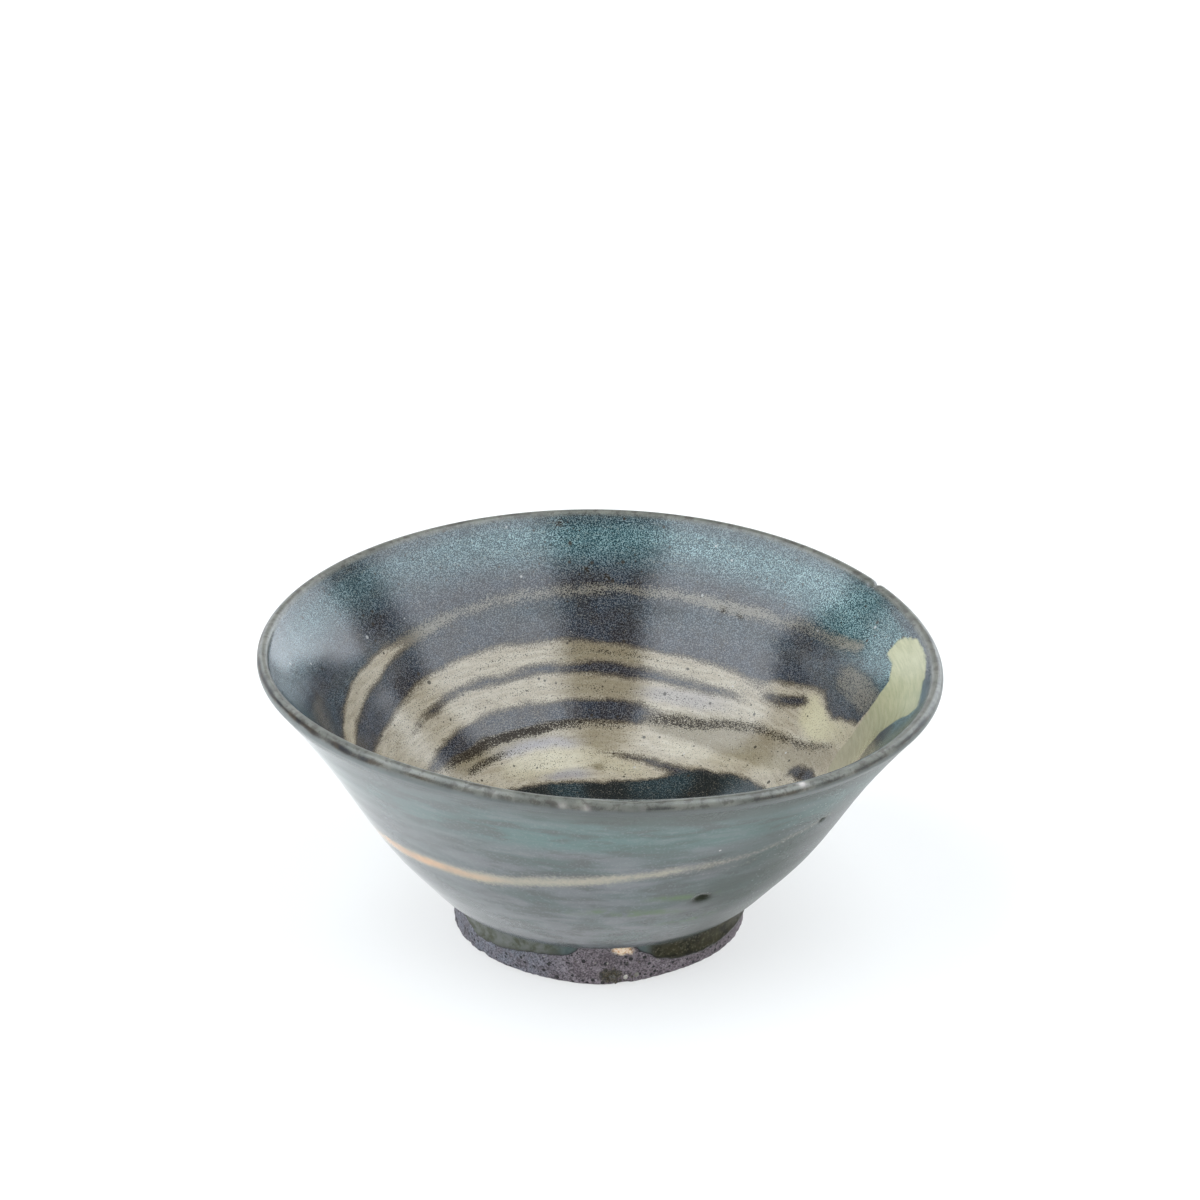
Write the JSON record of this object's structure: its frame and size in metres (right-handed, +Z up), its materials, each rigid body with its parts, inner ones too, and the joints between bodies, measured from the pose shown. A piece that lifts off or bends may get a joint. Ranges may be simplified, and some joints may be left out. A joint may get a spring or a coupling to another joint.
{
  "type": "gongfu tea cup",
  "caption": "Small hand-thrown tea cup: flared marbled wall, round lip, glossy blue-teal glaze and a bare turned foot ring, for sipping tea poured from a pot.",
  "frame": {"origin": "centre of the foot ring's flat underside, on the surface that the cup stands on", "axes": "+Z up through the mouth, -Y towards the side that the picture shows in front, +X to the picture's right"},
  "size_m": [0.0782, 0.0782, 0.0361],
  "materials": {
    "dark_clay": "satin",
    "foot_clay": "matte",
    "inside_glaze": "gloss",
    "outside_glaze": "gloss",
    "pale_clay": "gloss",
    "warm_clay": "gloss"
  },
  "bodies": {
    "root": {"bowl": "dark_clay", "foot_ring": "foot_clay", "inside_glaze": "inside_glaze", "outside_glaze": "outside_glaze", "upper_streak": "pale_clay", "middle_streak": "pale_clay", "lower_streak": "pale_clay", "floor_streak": "pale_clay", "floor_patch": "pale_clay", "rim_patch": "pale_clay", "outside_streak": "warm_clay"}
  },
  "joints": []
}
